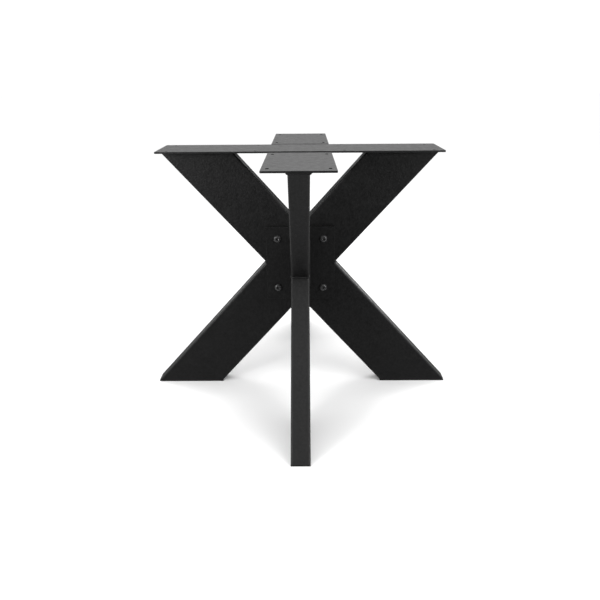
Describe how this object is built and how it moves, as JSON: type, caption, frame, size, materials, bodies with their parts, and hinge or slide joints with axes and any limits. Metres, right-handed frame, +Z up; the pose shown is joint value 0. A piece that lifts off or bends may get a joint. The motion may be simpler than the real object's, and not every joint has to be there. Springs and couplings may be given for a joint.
{
  "type": "crossed x-frame steel table base",
  "caption": "Steel table base: a full X frame of rectangular tube with half X frames bolted to its crossing, and screw plates for a table top.",
  "frame": {"origin": "on the floor, under the middle of the crossing", "axes": "+X along the full X frame, +Y from the front half frame to the rear one, +Z up"},
  "size_m": [0.8988, 0.9678, 0.72],
  "materials": {
    "powder_coated_steel": "fine textured matt black powder coat",
    "black_bolts": "satin black oxide",
    "plain_steel": "bare drawn steel, hidden in the tubes"
  },
  "bodies": {
    "root": {"main_through_tube": "powder_coated_steel", "main_upper_cross_tube": "powder_coated_steel", "main_lower_cross_tube": "powder_coated_steel", "main_top_plate": "powder_coated_steel", "main_foot_plate_left": "powder_coated_steel", "main_foot_plate_right": "powder_coated_steel", "front_upper_arm": "powder_coated_steel", "front_lower_arm": "powder_coated_steel", "front_top_plate": "powder_coated_steel", "front_foot_plate": "powder_coated_steel", "front_flange": "powder_coated_steel", "rear_upper_arm": "powder_coated_steel", "rear_lower_arm": "powder_coated_steel", "rear_top_plate": "powder_coated_steel", "rear_foot_plate": "powder_coated_steel", "rear_flange": "powder_coated_steel", "flange_bolt_1": "black_bolts", "flange_nut_1": "black_bolts", "flange_washer_1": "black_bolts", "spacer_sleeve_1": "plain_steel", "flange_bolt_2": "black_bolts", "flange_nut_2": "black_bolts", "flange_washer_2": "black_bolts", "spacer_sleeve_2": "plain_steel", "flange_bolt_3": "black_bolts", "flange_nut_3": "black_bolts", "flange_washer_3": "black_bolts", "spacer_sleeve_3": "plain_steel", "flange_bolt_4": "black_bolts", "flange_nut_4": "black_bolts", "flange_washer_4": "black_bolts", "spacer_sleeve_4": "plain_steel"}
  },
  "joints": []
}
